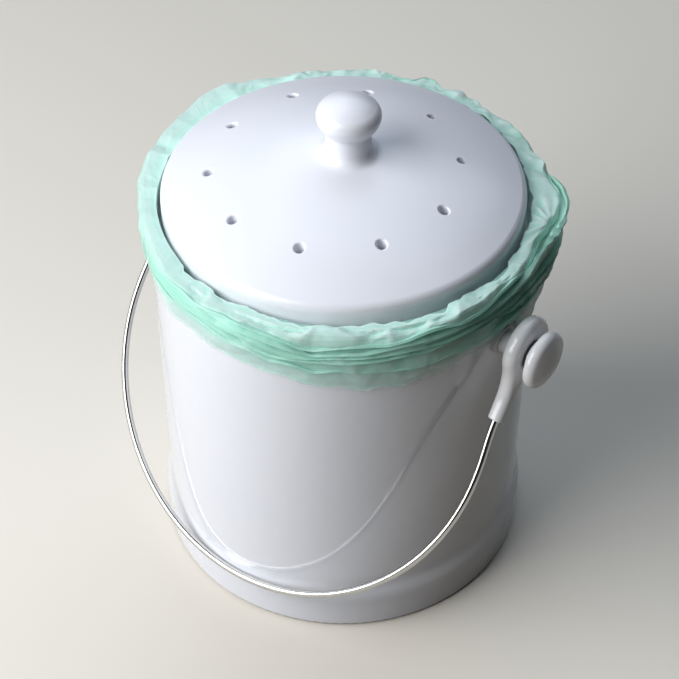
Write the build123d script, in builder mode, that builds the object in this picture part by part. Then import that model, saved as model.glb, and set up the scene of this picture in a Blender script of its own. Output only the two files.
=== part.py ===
"""Countertop compost bin: a glazed crock with a vented, knobbed lid over a charcoal filter,
a folded-over liner bag and a wire bail that turns on two buttoned pivots.

Millimetres, +Z up. The origin is the centre of the crock's base. The bail turns about an axis
along X and hangs towards -Y.
"""

from build123d import *

import os
from math import acos, asin, atan2, copysign, cos, degrees, hypot, radians, sin, sqrt

# Crock
body_radius = 88.0
wall = 7.0
floor_thickness = 8.0
rim_height = 196.0
foot_projection = 2.4
foot_edge_radius = 2.0
foot_ring_width = 9.0
base_recess = 2.5
foot_band_height = 18.0
foot_cove_height = 12.0
inner_corner_radius = 12.0

# Seat for the lid inside the mouth
gallery_wall = 3.7
gallery_depth = 7.0
ledge_overhang = 3.5
ledge_thickness = 6.0
ledge_slope_height = 10.0
ledge_edge_radius = 1.2

# Lid
lid_clearance = 2.3
lid_thickness = 5.5
lid_edge_height = 11.8
dome_radius = 190.0
lid_edge_radius = 4.3
flange_edge_radius = 1.0
locating_ring_width = 5.0
locating_ring_depth = 8.4
locating_ring_clearance = 0.9

# Knob, thrown a little off the lid's middle
knob_shift = (1.7, 1.3)
knob_ball_radius = 14.4
knob_top_height = 7.9
knob_top_side_radius = 5.0
knob_bottom_height = 12.0
knob_bottom_side_radius = 9.0
knob_ball_rise = 20.0
knob_stem_radius = 10.2
knob_root_radius = 5.5
knob_neck_radius = 1.8

# Vents, punched round a ring that is also a little off the middle
vent_count = 10
vent_diameter = 4.4
vent_ring_inset = 26.0
vent_ring_shift = (-3.0, -2.3)
vent_start_angle = 40.5
vent_edge_radius = 0.9

# Filter under the lid
filter_thickness = 6.0
filter_edge_radius = 1.0
filter_edge_clearance = 0.4
filter_gap = 0.3
holder_plate_thickness = 2.0
holder_skirt_height = 5.0
holder_skirt_width = 1.8
holder_fit = 0.08
holder_rim_width = 7.0
holder_hub_radius = 14.0
holder_spoke_width = 4.0
holder_spoke_count = 6
holder_ring_radius = 37.0
holder_ring_width = 3.5

# Gasket under the lid's flange
gasket_thickness = 2.0
gasket_edge_inset = 0.6

# Liner bag
film = 0.8
soft_gap = 0.3
cuff_slack = 2.0
cuff_thickness = 3.0
cuff_length = 36.0
fold_rise = 2.5
fold_outer_radius = 2.2
fold_inner_radius = 1.0
bag_corner_radius = 10.0
bag_taper_height = 11.0
head_clearance = 0.6
ear_arch_radius = 22.0
ear_arch_clearance = 0.6

# Bail
pivot_drop = 35.0
wire_diameter = 3.5
leg_length = 64.0
bail_splay = 1.6
bail_rest_gap = 0.33
wire_insertion = 17.0
wire_fit = 0.02

# Lugs on the ends of the bail
lug_thickness = 7.4
lug_eye_radius = 14.8
lug_eye_offset = 1.6
lug_tail_width = 6.7
lug_length = 34.3
lug_neck_radius = 26.0
lug_edge_radius = 3.2
lug_end_radius = 0.6

# Pivots: everything here is stacked along X, outwards from the crock's wall
pivot_standoff = 8.7
running_fit = 0.05
side_play = 0.3
journal_radius = 4.0
bush_body_radius = 5.4
bush_flange_radius = 7.0
bush_flange_thickness = 2.2
wall_hole_radius = 3.3
screw_radius = 2.5
screw_fit = 0.06
screw_head_radius = 5.0
screw_head_thickness = 2.6
screw_end_gap = 0.7
slot_width = 1.2
slot_depth = 1.1
washer_radius = 7.0
steel_washer_thickness = 1.2
seal_washer_thickness = 1.5
outer_washer_thickness = 1.2
stack_gap = 0.02
seat_clearance = 0.03

# Buttons: a short neck behind a domed head
button_neck_radius = 7.5
button_neck_length = 2.2
button_radius = 13.7
button_thickness = 8.0
button_side_height = 4.4
button_back_edge_radius = 2.0
button_front_edge_radius = 3.8
insert_radius = 3.6
insert_length = 7.5
insert_fit = 0.02

# Heights and radii that follow
inner_radius = body_radius - wall
floor_top = base_recess + floor_thickness
foot_radius = body_radius + foot_projection
cove_top = foot_band_height + foot_cove_height
cove_radius = (foot_projection**2 + foot_cove_height**2) / (4 * foot_projection)
ledge_height = rim_height - gallery_depth
ledge_radius = inner_radius - ledge_overhang
gallery_radius = body_radius - gallery_wall
lid_radius = gallery_radius - lid_clearance
vent_ring_radius = lid_radius - vent_ring_inset
pivot_height = rim_height - pivot_drop

film_on_ledge = ledge_height + soft_gap
gasket_bottom = film_on_ledge + film + soft_gap
flange_bottom = gasket_bottom + gasket_thickness
locating_ring_radius = ledge_radius - soft_gap - film - locating_ring_clearance
lid_inner_radius = locating_ring_radius - locating_ring_width
locating_ring_bottom = flange_bottom - locating_ring_depth
dome_centre_height = flange_bottom + lid_edge_height - sqrt(dome_radius**2 - lid_radius**2)
crown_height = dome_centre_height + dome_radius
dome_inner_radius = dome_radius - lid_thickness


def dome_height(radius, sphere=dome_radius):
    """Height of the lid's dome, or of its underside, at a distance from the lid's axis."""
    return dome_centre_height + sqrt(sphere**2 - radius**2)


filter_radius = lid_inner_radius - filter_edge_clearance
filter_top = dome_height(filter_radius, dome_inner_radius) - filter_gap
filter_bottom = filter_top - filter_thickness
holder_radius = lid_inner_radius - holder_fit

lug_inner = body_radius + pivot_standoff
lug_centre = lug_inner + lug_thickness / 2
lug_outer = lug_inner + lug_thickness
bail_radius = lug_centre + bail_splay
bail_depth = leg_length + bail_radius
wire_radius = wire_diameter / 2
screw_bore = screw_radius + screw_fit
journal_end = lug_outer + side_play
washer_end = journal_end + stack_gap + outer_washer_thickness
button_back = washer_end + stack_gap
steel_washer_outer = inner_radius - seal_washer_thickness
head_outer = steel_washer_outer - steel_washer_thickness
head_inner = head_outer - screw_head_thickness
screw_end = button_back + insert_length - screw_end_gap

# The bail hangs down until its bow meets the foot's upright band, its shoulder or the wall
band_lean = asin((foot_radius + wire_radius + bail_rest_gap) / bail_depth)
wall_lean = asin((body_radius + wire_radius + bail_rest_gap) / bail_depth)
bow_height = pivot_height - bail_depth * cos(band_lean)
shoulder_radius = foot_radius - cove_radius
shoulder_drop = pivot_height - foot_band_height
shoulder_distance = hypot(shoulder_radius, shoulder_drop)
contact_distance = cove_radius + wire_radius + bail_rest_gap
shoulder_cosine = (bail_depth**2 + shoulder_distance**2 - contact_distance**2) / (
    2 * bail_depth * shoulder_distance
)
shoulder_lean = atan2(shoulder_radius, shoulder_drop) + acos(min(shoulder_cosine, 1))
upper_lean = max(wall_lean, shoulder_lean)
bail_lean = degrees(band_lean if bow_height < foot_band_height else upper_lean)

pivot_axis = Axis((0, 0, pivot_height), (1, 0, 0))
lean = radians(bail_lean)
bail_plane = Plane(origin=(0, 0, pivot_height), x_dir=(1, 0, 0), z_dir=(0, -cos(lean), sin(lean)))

os.makedirs("parts", exist_ok=True)


def finish_piece(piece, name):
    """Label a finished piece and write it to its own file."""
    piece.part.label = name
    export_step(piece.part, f"parts/{name}.step")


def pivot_section(side):
    """Plane whose x runs outwards along the pivot axis on one side, and whose y is up."""
    return Plane(origin=(0, 0, pivot_height), x_dir=(side, 0, 0), z_dir=(0, -side, 0))


def build_crock():
    """Straight crock on a wider foot, with a ledge inside its mouth and a hole at each pivot."""
    rim_mid = (body_radius + gallery_radius) / 2
    rim_round = (body_radius - gallery_radius) / 2
    shoulder = (body_radius + foot_projection / 2, foot_band_height + foot_cove_height / 2)
    sweep = atan2(foot_cove_height / 2, cove_radius - foot_projection / 2) / 2
    lower_mid = (
        foot_radius - cove_radius * (1 - cos(sweep)),
        foot_band_height + cove_radius * sin(sweep),
    )
    upper_mid = (
        body_radius + cove_radius * (1 - cos(sweep)),
        cove_top - cove_radius * sin(sweep),
    )
    corner_start = (inner_radius, floor_top + inner_corner_radius)
    corner_end = (inner_radius - inner_corner_radius, floor_top)
    with BuildPart() as crock:
        with BuildSketch(Plane.XZ):
            with BuildLine():
                Polyline(
                    (0, base_recess),
                    (foot_radius - foot_ring_width, base_recess),
                    (foot_radius - foot_ring_width, 0),
                    (foot_radius - foot_edge_radius, 0),
                )
                RadiusArc(
                    (foot_radius - foot_edge_radius, 0),
                    (foot_radius, foot_edge_radius),
                    -foot_edge_radius,
                )
                Line((foot_radius, foot_edge_radius), (foot_radius, foot_band_height))
                ThreePointArc((foot_radius, foot_band_height), lower_mid, shoulder)
                ThreePointArc(shoulder, upper_mid, (body_radius, cove_top))
                Line((body_radius, cove_top), (body_radius, rim_height - rim_round))
                ThreePointArc(
                    (body_radius, rim_height - rim_round),
                    (rim_mid, rim_height),
                    (gallery_radius, rim_height - rim_round),
                )
                Polyline(
                    (gallery_radius, rim_height - rim_round),
                    (gallery_radius, ledge_height),
                    (ledge_radius, ledge_height),
                    (ledge_radius, ledge_height - ledge_thickness),
                    (inner_radius, ledge_height - ledge_thickness - ledge_slope_height),
                    corner_start,
                )
                RadiusArc(corner_start, corner_end, inner_corner_radius)
                Polyline(corner_end, (0, floor_top), (0, base_recess))
            make_face()
        revolve(axis=Axis.Z)
        ledge_edge = crock.edges().filter_by(
            lambda e: e.geom_type == GeomType.CIRCLE
            and abs(e.radius - ledge_radius) < 0.01
            and abs(e.center().Z - ledge_height) < 0.01
        )
        fillet(ledge_edge, ledge_edge_radius)
        with Locations((0, 0, pivot_height)):
            Cylinder(
                radius=wall_hole_radius,
                height=3 * body_radius,
                rotation=(0, 90, 0),
                mode=Mode.SUBTRACT,
            )
    return crock


def build_lid():
    """Domed lid with a locating ring below, a knob on top and a ring of vents."""
    knob_plane = Plane(origin=(*knob_shift, 0), x_dir=(1, 0, 0), z_dir=(0, -1, 0))
    ball_height = crown_height + knob_ball_rise
    stem_bottom = crown_height - lid_thickness / 2
    with BuildPart() as lid:
        with BuildSketch(Plane.XZ) as section:
            with BuildLine():
                Polyline(
                    (lid_inner_radius, locating_ring_bottom),
                    (locating_ring_radius, locating_ring_bottom),
                    (locating_ring_radius, flange_bottom),
                    (lid_radius, flange_bottom),
                    (lid_radius, dome_height(lid_radius)),
                )
                RadiusArc((lid_radius, dome_height(lid_radius)), (0, crown_height), -dome_radius)
                Line((0, crown_height), (0, crown_height - lid_thickness))
                RadiusArc(
                    (0, crown_height - lid_thickness),
                    (lid_inner_radius, dome_height(lid_inner_radius, dome_inner_radius)),
                    dome_inner_radius,
                )
                Line(
                    (lid_inner_radius, dome_height(lid_inner_radius, dome_inner_radius)),
                    (lid_inner_radius, locating_ring_bottom),
                )
            make_face()
            rim = section.vertices().filter_by(lambda v: abs(v.X - lid_radius) < 0.01)
            fillet(rim.sort_by(Axis.Y)[-1], lid_edge_radius)
            fillet(rim.sort_by(Axis.Y)[0], flange_edge_radius)
        revolve(axis=Axis.Z)
        with BuildSketch(knob_plane) as knob:
            with BuildLine():
                for height, side_radius in (
                    (knob_top_height, knob_top_side_radius),
                    (-knob_bottom_height, knob_bottom_side_radius),
                ):
                    offset = knob_ball_radius - side_radius
                    flat = abs(height) - side_radius
                    cap_angle = atan2(offset, (offset**2 - flat**2) / (2 * flat))
                    (end_x, end_y), (side_x, side_y) = [
                        (
                            offset + side_radius * sin(turn),
                            ball_height + copysign(side_radius * cos(turn), height),
                        )
                        for turn in (cap_angle, (cap_angle + radians(90)) / 2)
                    ]
                    ThreePointArc((-end_x, end_y), (0, ball_height + height), (end_x, end_y))
                    for hand in (1, -1):
                        ThreePointArc(
                            (hand * end_x, end_y),
                            (hand * side_x, side_y),
                            (hand * knob_ball_radius, ball_height),
                        )
            make_face()
            with Locations((-knob_ball_radius, ball_height)):
                Rectangle(2 * knob_ball_radius, 4 * knob_bottom_height, mode=Mode.SUBTRACT)
            with Locations((knob_stem_radius / 2, (stem_bottom + ball_height) / 2)):
                Rectangle(knob_stem_radius, ball_height - stem_bottom)
            neck = knob.vertices().filter_by(
                lambda v: abs(v.X - knob_stem_radius) < 0.01 and v.Y > crown_height
            )
            fillet(neck, knob_neck_radius)
        revolve(axis=Axis((*knob_shift, 0), (0, 0, 1)))
        root = lid.edges(Select.LAST).filter_by(
            lambda e: abs(e.center().Z - dome_height(knob_stem_radius)) < 1
        )
        fillet(root, knob_root_radius)
        with Locations((*vent_ring_shift, crown_height)):
            with PolarLocations(vent_ring_radius, vent_count, start_angle=vent_start_angle):
                Cylinder(
                    radius=vent_diameter / 2,
                    height=2 * (crown_height - flange_bottom),
                    mode=Mode.SUBTRACT,
                )
        vent_edges = lid.edges(Select.LAST).filter_by(
            lambda e: e.geom_type != GeomType.LINE
            and abs(hypot(e.center().X, e.center().Y) - vent_ring_radius) < 5
            and e.center().Z > dome_height(vent_ring_radius + 5)
        )
        fillet(vent_edges, vent_edge_radius)
    return lid


def build_filter():
    """Flat charcoal disc that lies against the underside of the lid."""
    with BuildPart() as charcoal:
        with BuildSketch(Plane.XY.offset(filter_bottom)):
            Circle(filter_radius)
        extrude(amount=filter_thickness)
        fillet(charcoal.edges().group_by(Axis.Z)[0], filter_edge_radius)
    return charcoal


def build_filter_holder():
    """Spoked plastic plate with a skirt that grips the lid's locating ring."""
    plate_bottom = filter_bottom - holder_plate_thickness
    ring_inner = holder_ring_radius - holder_ring_width / 2
    with BuildPart() as holder:
        with BuildSketch(Plane.XY.offset(plate_bottom)):
            Circle(holder_radius)
            Circle(holder_radius - holder_rim_width, mode=Mode.SUBTRACT)
            Circle(holder_ring_radius + holder_ring_width / 2)
            Circle(ring_inner, mode=Mode.SUBTRACT)
            Circle(holder_hub_radius)
            spoke_start = holder_hub_radius / 2
            spoke_end = holder_radius - holder_rim_width / 2
            with PolarLocations((spoke_start + spoke_end) / 2, holder_spoke_count):
                Rectangle(spoke_end - spoke_start, holder_spoke_width)
        extrude(amount=holder_plate_thickness)
        with BuildSketch(Plane.XY.offset(plate_bottom)):
            Circle(holder_radius)
            Circle(holder_radius - holder_skirt_width, mode=Mode.SUBTRACT)
        extrude(amount=-holder_skirt_height)
    return holder


def build_gasket():
    """Flat soft ring between the lid's flange and the ledge."""
    with BuildPart() as gasket:
        with BuildSketch(Plane.XY.offset(gasket_bottom)):
            Circle(lid_radius - flange_edge_radius)
            Circle(locating_ring_radius + gasket_edge_inset, mode=Mode.SUBTRACT)
        extrude(amount=gasket_thickness)
    return gasket


def build_liner():
    """Bag that lines the crock, crosses the ledge and folds over the rim as a cuff."""
    cuff_in = body_radius + cuff_slack
    cuff_out = cuff_in + cuff_thickness
    hem_height = rim_height - cuff_length
    fold_bottom = rim_height + soft_gap
    fold_top = fold_bottom + fold_rise
    gallery_out = gallery_radius - soft_gap
    gallery_in = gallery_out - film
    neck_out = ledge_radius - soft_gap
    neck_in = neck_out - film
    neck_bottom = min(locating_ring_bottom, ledge_height - ledge_thickness) - soft_gap
    drum_out = min(neck_out, head_inner - head_clearance)
    drum_in = drum_out - film
    taper_bottom = neck_bottom - bag_taper_height
    bottom = floor_top + soft_gap
    corner_height = bottom + bag_corner_radius
    corner = drum_out - bag_corner_radius
    arch_top = pivot_height + bush_flange_radius + ear_arch_clearance
    with BuildPart() as liner:
        with BuildSketch(Plane.XZ) as section:
            with BuildLine():
                Polyline(
                    (cuff_out, hem_height),
                    (cuff_in, hem_height),
                    (cuff_in, fold_bottom),
                    (gallery_out, fold_bottom),
                    (gallery_out, film_on_ledge),
                    (neck_out, film_on_ledge),
                    (neck_out, neck_bottom),
                    (drum_out, taper_bottom),
                    (drum_out, corner_height),
                )
                RadiusArc((drum_out, corner_height), (corner, bottom), bag_corner_radius)
                Polyline((corner, bottom), (0, bottom), (0, bottom + film), (corner, bottom + film))
                RadiusArc((corner, bottom + film), (drum_in, corner_height), film - bag_corner_radius)
                Polyline(
                    (drum_in, corner_height),
                    (drum_in, taper_bottom),
                    (neck_in, neck_bottom),
                    (neck_in, film_on_ledge + film),
                    (gallery_in, film_on_ledge + film),
                    (gallery_in, fold_top),
                    (cuff_out, fold_top),
                    (cuff_out, hem_height),
                )
            make_face()
            top = section.vertices().group_by(Axis.Y)[-1].sort_by(Axis.X)
            fillet(top[-1], fold_outer_radius)
            fillet(top[0], fold_inner_radius)
        revolve(axis=Axis.Z)
        for side in (-1, 1):
            with Locations((side * cuff_out, 0, arch_top - ear_arch_radius)):
                Cylinder(
                    radius=ear_arch_radius,
                    height=4 * (cuff_slack + cuff_thickness),
                    rotation=(0, 90, 0),
                    mode=Mode.SUBTRACT,
                )
    return liner


def build_wire():
    """Steel bail: two straight legs and a half-round bow, leaning out to rest on the foot."""
    leg_start = lug_length - wire_insertion
    splay_length = (leg_length - lug_length) / 2
    splay_turn = atan2(bail_splay / 2, splay_length)
    splay_radius = (splay_length**2 + (bail_splay / 2) ** 2) / bail_splay
    aside = splay_radius * (1 - cos(splay_turn))
    along = splay_radius * sin(splay_turn)
    splay_points = (
        (lug_centre, -lug_length),
        (lug_centre + aside, -lug_length - along),
        (lug_centre + bail_splay / 2, -lug_length - splay_length),
        (bail_radius - aside, -leg_length + along),
        (bail_radius, -leg_length),
    )
    left_points = [(-x, y) for x, y in reversed(splay_points)]
    with BuildPart() as wire:
        with BuildLine(bail_plane):
            Line((lug_centre, -leg_start), (lug_centre, -lug_length))
            ThreePointArc(*splay_points[:3])
            ThreePointArc(*splay_points[2:])
            ThreePointArc((bail_radius, -leg_length), (0, -bail_depth), (-bail_radius, -leg_length))
            ThreePointArc(*left_points[:3])
            ThreePointArc(*left_points[2:])
            Line((-lug_centre, -lug_length), (-lug_centre, -leg_start))
        start = bail_plane.from_local_coords((lug_centre, -leg_start, 0))
        with BuildSketch(Plane(origin=start, x_dir=(1, 0, 0), z_dir=-bail_plane.y_dir)):
            Circle(wire_radius)
        sweep()
    return wire


def build_lug(side):
    """Moulded end of the bail: a round eye that runs down into a tube over the wire."""
    lug_plane = Plane(
        origin=(side * lug_inner, 0, pivot_height),
        x_dir=bail_plane.z_dir * -side,
        z_dir=(side, 0, 0),
    )
    lug_end = bail_plane.from_local_coords((side * lug_centre, -lug_length, 0))
    with BuildPart() as lug:
        with BuildSketch(lug_plane) as outline:
            with Locations((0, lug_eye_offset)):
                Circle(lug_eye_radius)
            with Locations((0, -(lug_length + lug_thickness) / 2)):
                Rectangle(lug_tail_width, lug_length + lug_thickness)
            shoulders = outline.vertices().filter_by(
                lambda v: abs(abs(v.X) - lug_tail_width / 2) < 0.01 and v.Y > 1 - lug_length
            )
            fillet(shoulders, lug_neck_radius)
        extrude(amount=lug_thickness)
        face_edges = lug.faces().filter_by(Plane.YZ).edges()
        fillet(face_edges, lug_edge_radius)
        with BuildSketch(Plane(origin=lug_end, x_dir=(1, 0, 0), z_dir=-bail_plane.y_dir)):
            Rectangle(2 * lug_thickness, 2 * lug_thickness)
        extrude(amount=2 * lug_thickness, mode=Mode.SUBTRACT)
        fillet(lug.edges(Select.LAST), lug_end_radius)
        with Locations((side * lug_centre, 0, pivot_height)):
            Cylinder(
                radius=journal_radius + running_fit,
                height=2 * lug_thickness,
                rotation=(0, 90, 0),
                mode=Mode.SUBTRACT,
            )
        with BuildSketch(Plane(origin=lug_end, x_dir=(1, 0, 0), z_dir=bail_plane.y_dir)):
            Circle(wire_radius + wire_fit)
        extrude(amount=wire_insertion + wire_fit, mode=Mode.SUBTRACT)
    return lug


def build_ring(side, start, end, radius):
    """Plain ring on the screw, between two distances from the crock's axis."""
    with BuildPart() as ring:
        with BuildSketch(pivot_section(side)):
            with Locations(((start + end) / 2, (screw_bore + radius) / 2)):
                Rectangle(end - start, radius - screw_bore)
        revolve(axis=pivot_axis)
    return ring


def build_seal_washer(side):
    """Soft washer that is moulded to the round inside of the crock's wall."""
    with BuildPart() as washer:
        with BuildSketch(pivot_section(side)):
            with Locations(((steel_washer_outer + inner_radius) / 2, (screw_bore + washer_radius) / 2)):
                Rectangle(inner_radius - steel_washer_outer, washer_radius - screw_bore)
        revolve(axis=pivot_axis)
        with Locations((0, 0, pivot_height)):
            Cylinder(
                radius=inner_radius - seat_clearance,
                height=4 * washer_radius,
                mode=Mode.INTERSECT,
            )
    return washer


def build_bush(side):
    """Shouldered bush: a flange shaped to the wall, a spacer and the journal for the lug."""
    spacer_end = lug_inner - side_play
    flange_start = sqrt(inner_radius**2 - bush_flange_radius**2)
    flange_end = body_radius + bush_flange_thickness
    with BuildPart() as bush:
        with BuildSketch(pivot_section(side)):
            with BuildLine():
                Polyline(
                    (flange_start, screw_bore),
                    (flange_start, bush_flange_radius),
                    (flange_end, bush_flange_radius),
                    (flange_end, bush_body_radius),
                    (spacer_end, bush_body_radius),
                    (spacer_end, journal_radius),
                    (journal_end, journal_radius),
                    (journal_end, screw_bore),
                    close=True,
                )
            make_face()
        revolve(axis=pivot_axis)
        with Locations((0, 0, pivot_height)):
            Cylinder(
                radius=body_radius + seat_clearance,
                height=4 * bush_flange_radius,
                mode=Mode.SUBTRACT,
            )
    return bush


def build_screw(side):
    """Slotted pan-head screw from inside the crock out into the button's insert."""
    slot_x = side * (head_inner + slot_depth / 2)
    with BuildPart() as screw:
        with BuildSketch(pivot_section(side)) as section:
            with BuildLine():
                Polyline(
                    (head_inner, 0),
                    (head_inner, screw_head_radius),
                    (head_outer, screw_head_radius),
                    (head_outer, screw_radius),
                    (screw_end, screw_radius),
                    (screw_end, 0),
                    close=True,
                )
            make_face()
            head_edge = section.vertices().group_by(Axis.Y)[-1].sort_by(Axis.X)[0]
            fillet(head_edge, screw_head_thickness / 2)
        revolve(axis=pivot_axis)
        with Locations((slot_x, 0, pivot_height)):
            Box(slot_depth, slot_width, 4 * screw_head_radius, mode=Mode.SUBTRACT)
    return screw


def build_button(side):
    """Domed button that caps the pivot on a short neck, hollowed for its threaded insert."""
    head_back = button_back + button_neck_length
    front = head_back + button_thickness
    side_end = head_back + button_side_height
    cavity = insert_radius + insert_fit
    pocket_end = button_back + insert_length + insert_fit
    with BuildPart() as button:
        with BuildSketch(pivot_section(side)) as section:
            with BuildLine():
                Polyline(
                    (pocket_end, 0),
                    (pocket_end, cavity),
                    (button_back, cavity),
                    (button_back, button_neck_radius),
                    (head_back, button_neck_radius),
                    (head_back, button_radius),
                    (side_end, button_radius),
                )
                dome_rise = front - side_end
                dome = (button_radius**2 + dome_rise**2) / (2 * dome_rise)
                RadiusArc((side_end, button_radius), (front, 0), dome)
                Line((front, 0), (pocket_end, 0))
            make_face()
            back_edge = section.vertices().group_by(Axis.Y)[-1].sort_by(Axis.X)[0]
            fillet(back_edge, button_back_edge_radius)
            front_edge = section.vertices().group_by(Axis.Y)[-1].sort_by(Axis.X)[-1]
            fillet(front_edge, button_front_edge_radius)
        revolve(axis=pivot_axis)
    return button


finish_piece(build_crock(), "crock")
finish_piece(build_lid(), "lid")
finish_piece(build_filter(), "charcoal_filter")
finish_piece(build_filter_holder(), "filter_holder")
finish_piece(build_gasket(), "lid_gasket")
finish_piece(build_liner(), "liner_bag")
finish_piece(build_wire(), "bail_wire")

for side_name, side in (("left", -1), ("right", 1)):
    finish_piece(build_lug(side), f"{side_name}_bail_lug")
    finish_piece(build_bush(side), f"{side_name}_pivot_bush")
    finish_piece(build_screw(side), f"{side_name}_pivot_screw")
    finish_piece(build_button(side), f"{side_name}_pivot_button")
    finish_piece(build_seal_washer(side), f"{side_name}_seal_washer")
    steel_washer = build_ring(side, head_outer, steel_washer_outer - stack_gap, washer_radius)
    finish_piece(steel_washer, f"{side_name}_steel_washer")
    outer_washer = build_ring(side, journal_end + stack_gap, washer_end, washer_radius)
    finish_piece(outer_washer, f"{side_name}_outer_washer")
    insert = build_ring(side, button_back, button_back + insert_length, insert_radius)
    finish_piece(insert, f"{side_name}_thread_insert")

print(f"bail lean {bail_lean:.2f} degrees, swing {360 - 2 * bail_lean:.2f} degrees")
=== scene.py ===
"""Countertop compost bin, dressed for its picture.

Metres, +Z up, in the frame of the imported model: the origin is the centre of the crock's base, the
bail turns about an axis along X and hangs towards -Y.
"""

import logging
import math
from dataclasses import dataclass, field
from enum import Enum
from typing import NamedTuple

import bpy
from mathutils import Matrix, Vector, noise


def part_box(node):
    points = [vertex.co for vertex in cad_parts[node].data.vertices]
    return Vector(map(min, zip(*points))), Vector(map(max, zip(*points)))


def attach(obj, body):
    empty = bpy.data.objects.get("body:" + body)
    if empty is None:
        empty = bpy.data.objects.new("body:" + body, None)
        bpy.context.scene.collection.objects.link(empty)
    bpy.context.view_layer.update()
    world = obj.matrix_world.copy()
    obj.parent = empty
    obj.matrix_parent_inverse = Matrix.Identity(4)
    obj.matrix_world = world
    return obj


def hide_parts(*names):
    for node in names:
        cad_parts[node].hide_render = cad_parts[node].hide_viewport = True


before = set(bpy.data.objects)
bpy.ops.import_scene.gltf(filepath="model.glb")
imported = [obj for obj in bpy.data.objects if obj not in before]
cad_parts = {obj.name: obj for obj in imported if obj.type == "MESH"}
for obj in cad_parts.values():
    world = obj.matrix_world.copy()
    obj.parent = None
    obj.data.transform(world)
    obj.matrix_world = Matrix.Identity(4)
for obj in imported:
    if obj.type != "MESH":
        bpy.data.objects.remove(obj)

log = logging.getLogger("compost_bin")

MM = 0.001
Triple = tuple[float, float, float]
Colour = Triple
Station = tuple[float, float]


class Body(Enum):
    """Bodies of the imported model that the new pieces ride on."""

    CROCK = "crock_body"
    LID = "lid_body"


class Side(Enum):
    """The two pivots, by the name that their nodes start with."""

    LEFT = "left"
    RIGHT = "right"


class Slot(Enum):
    """Material slots of the record that new pieces take their finish from."""

    FILM = "film"
    CHARCOAL = "charcoal"


@dataclass
class NodeBench:
    """A node tree with short ways to add and join nodes."""

    tree: bpy.types.NodeTree

    def add(self, kind: str, **settings: object) -> bpy.types.Node:
        """Add a node.

        Args:
            kind: Blender's class name of the node.
            settings: properties of the node, set by name.

        Returns:
            The new node.
        """
        node = self.tree.nodes.new(kind)
        for name, value in settings.items():
            setattr(node, name, value)
        return node

    def join(self, output: bpy.types.NodeSocket, target: bpy.types.NodeSocket) -> None:
        """Link an output socket to an input socket."""
        self.tree.links.new(output, target)

    def fill(self, node: bpy.types.Node, values: dict[str, object]) -> None:
        """Set a node's inputs.

        Args:
            node: the node.
            values: a value or an output socket for each input, by the input's name.
        """
        for name, value in values.items():
            if isinstance(value, bpy.types.NodeSocket):
                self.join(value, node.inputs[name])
            else:
                node.inputs[name].default_value = value

    def math(self, operation: str, first: object, second: object = 0.0) -> bpy.types.NodeSocket:
        """Add a Math node.

        Args:
            operation: the node's operation.
            first: a number or an output socket.
            second: a number or an output socket.

        Returns:
            The node's output socket.
        """
        node = self.add("ShaderNodeMath", operation=operation)
        for socket, value in zip(node.inputs, (first, second)):
            if isinstance(value, bpy.types.NodeSocket):
                self.join(value, socket)
            else:
                socket.default_value = value
        return node.outputs[0]

    def range(self, value: bpy.types.NodeSocket, low: float, high: float) -> bpy.types.NodeSocket:
        """Map a value from low..high to 0..1 with soft ends, and return the socket."""
        node = self.add("ShaderNodeMapRange", interpolation_type="SMOOTHSTEP")
        self.fill(node, {"Value": value, "From Min": low, "From Max": high})
        return node.outputs["Result"]

    def mix(self, share: bpy.types.NodeSocket, first: object, second: object) -> bpy.types.NodeSocket:
        """Mix two colours.

        Args:
            share: how much of the second colour there is, from 0 to 1.
            first: a colour with its alpha, or an output socket.
            second: a colour with its alpha, or an output socket.

        Returns:
            The output socket of the mixed colour.
        """
        node = self.add("ShaderNodeMix", data_type="RGBA")
        self.fill(node, {"Factor": share, "A": first, "B": second})
        return node.outputs["Result"]

    def bump(self, height: bpy.types.NodeSocket, strength: float, depth: float) -> bpy.types.Node:
        """Add a bump of the given strength and of a depth in metres, and return its node."""
        node = self.add("ShaderNodeBump")
        self.fill(node, {"Height": height, "Strength": strength, "Distance": depth})
        return node


Group = tuple[NodeBench, bpy.types.Node, bpy.types.Node]


def new_group(name: str, inputs: dict[str, str], outputs: dict[str, str]) -> Group:
    """Start a shader node group.

    Args:
        name: name of the group.
        inputs: socket types by input name.
        outputs: socket types by output name.

    Returns:
        The bench of the group's tree, its input node and its output node.
    """
    tree = bpy.data.node_groups.new(name, "ShaderNodeTree")
    for label, kind in inputs.items():
        tree.interface.new_socket(name=label, in_out="INPUT", socket_type=kind)
    for label, kind in outputs.items():
        tree.interface.new_socket(name=label, in_out="OUTPUT", socket_type=kind)
    bench = NodeBench(tree)
    return bench, bench.add("NodeGroupInput"), bench.add("NodeGroupOutput")


NUMBER = "NodeSocketFloat"
COLOUR = "NodeSocketColor"
VECTOR = "NodeSocketVector"


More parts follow.
